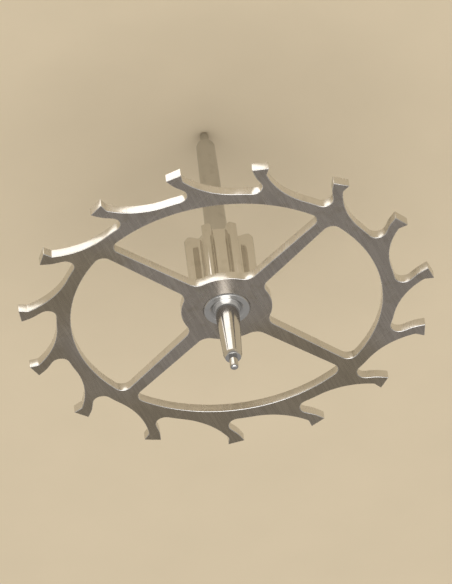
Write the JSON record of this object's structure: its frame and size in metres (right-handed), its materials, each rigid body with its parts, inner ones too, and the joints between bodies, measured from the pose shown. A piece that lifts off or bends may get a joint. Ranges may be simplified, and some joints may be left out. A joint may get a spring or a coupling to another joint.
{
  "type": "escape wheel",
  "caption": "Flat steel wheel with club teeth and crossed arms, riveted on a leafed pinion whose arbor ends in two pivots; it drives the pallets of a lever watch.",
  "frame": {"origin": "on the arbor's axis, at the shoulder of the lower pivot, on the long side of the arbor", "axes": "+Z along the arbor, from the long side with the pinion towards the short side with the riveted lip; +X along one arm, under the middle of a tooth's impulse face"},
  "size_m": [0.0052, 0.0052, 0.004],
  "materials": {
    "wheel_steel": "hardened steel, flat lapped faces, polished teeth",
    "pinion_steel": "hardened steel, burnished pivots, polished leaves"
  },
  "bodies": {
    "root": {"escape_wheel": "wheel_steel", "escape_pinion": "pinion_steel"}
  },
  "joints": []
}
